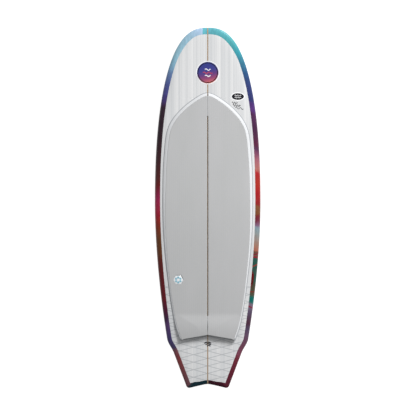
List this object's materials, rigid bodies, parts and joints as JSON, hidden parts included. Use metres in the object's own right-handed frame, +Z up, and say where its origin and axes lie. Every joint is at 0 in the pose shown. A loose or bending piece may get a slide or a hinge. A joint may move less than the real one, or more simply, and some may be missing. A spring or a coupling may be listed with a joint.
{
  "type": "wake riding board",
  "caption": "Short wake riding board with a swallow tail, a grooved foam deck pad with a raised tail kick, and removable fins.",
  "frame": {"origin": "centre of the footprint, on the surface that the board rests on", "axes": "+Y along the board towards the nose, +X to the rider's right, +Z up; the board lies on its belly and two side fins"},
  "size_m": [0.478, 1.6228, 0.1673],
  "materials": {
    "foam": "closed-cell foam",
    "deck_glass": "glassed white wood grain",
    "rail_colour": "glassed, blended colours",
    "bottom_glass": "glassed",
    "wood": "sealed",
    "pad_face_foam": "fine grooves, matte",
    "pad_base_foam": "plain, matte",
    "wedge_foam": "matte",
    "inlay": "printed",
    "badge": "printed",
    "box_plastic": "moulded",
    "screw_steel": "plain",
    "fin": "moulded, satin"
  },
  "bodies": {
    "board": {"foam_core_right": "foam", "foam_core_left": "foam", "deck_skin_right": "deck_glass", "deck_skin_left": "deck_glass", "rail_wrap_right": "rail_colour", "rail_wrap_left": "rail_colour", "bottom_skin_right": "bottom_glass", "bottom_skin_left": "bottom_glass", "stringer": "wood", "pad_base_right": "pad_base_foam", "pad_base_left": "pad_base_foam", "pad_face_right": "pad_face_foam", "pad_face_left": "pad_face_foam", "kick_wedge_right": "wedge_foam", "kick_wedge_left": "wedge_foam", "pad_inlay": "inlay", "nose_badge": "badge", "fin_box_left": "box_plastic", "fin_box_right": "box_plastic", "fin_box_center": "box_plastic"},
    "left_fin": {"fin_left": "fin"},
    "right_fin": {"fin_right": "fin"},
    "center_fin": {"fin_center": "fin"},
    "left_front_screw": {"fin_screw_left_front": "screw_steel"},
    "left_rear_screw": {"fin_screw_left_rear": "screw_steel"},
    "right_front_screw": {"fin_screw_right_front": "screw_steel"},
    "right_rear_screw": {"fin_screw_right_rear": "screw_steel"},
    "center_front_screw": {"fin_screw_center_front": "screw_steel"},
    "center_rear_screw": {"fin_screw_center_rear": "screw_steel"}
  },
  "joints": [
    {"name": "left_fin_pull", "type": "slide", "parent": "board", "child": "left_fin", "axis": [-0.0892, -0.1594, -0.9832], "range_m": [0, 0.02]},
    {"name": "right_fin_pull", "type": "slide", "parent": "board", "child": "right_fin", "axis": [0.0892, -0.1594, -0.9832], "range_m": [0, 0.02]},
    {"name": "center_fin_pull", "type": "slide", "parent": "board", "child": "center_fin", "axis": [0, -0.181, -0.9835], "range_m": [0, 0.02]},
    {"name": "left_front_screw_turn", "type": "hinge", "parent": "board", "child": "left_front_screw", "pos_m": [-0.13746, -0.48488, 0.09547], "axis": [0.2566, -0.168, -0.9518], "range_deg": [0, 720]},
    {"name": "left_rear_screw_turn", "type": "hinge", "parent": "board", "child": "left_rear_screw", "pos_m": [-0.13975, -0.54237, 0.105], "axis": [0.2566, -0.168, -0.9518], "range_deg": [0, 720]},
    {"name": "right_front_screw_turn", "type": "hinge", "parent": "board", "child": "right_front_screw", "pos_m": [0.15157, -0.48413, 0.09663], "axis": [0.4242, -0.1316, -0.896], "range_deg": [0, 720]},
    {"name": "right_rear_screw_turn", "type": "hinge", "parent": "board", "child": "right_rear_screw", "pos_m": [0.15385, -0.54162, 0.10616], "axis": [0.4242, -0.1316, -0.896], "range_deg": [0, 720]},
    {"name": "center_front_screw_turn", "type": "hinge", "parent": "board", "child": "center_front_screw", "pos_m": [0.00709, -0.64161, 0.12307], "axis": [0.342, -0.1701, -0.9242], "range_deg": [0, 720]},
    {"name": "center_rear_screw_turn", "type": "hinge", "parent": "board", "child": "center_rear_screw", "pos_m": [0.00709, -0.69259, 0.13245], "axis": [0.342, -0.1701, -0.9242], "range_deg": [0, 720]}
  ]
}
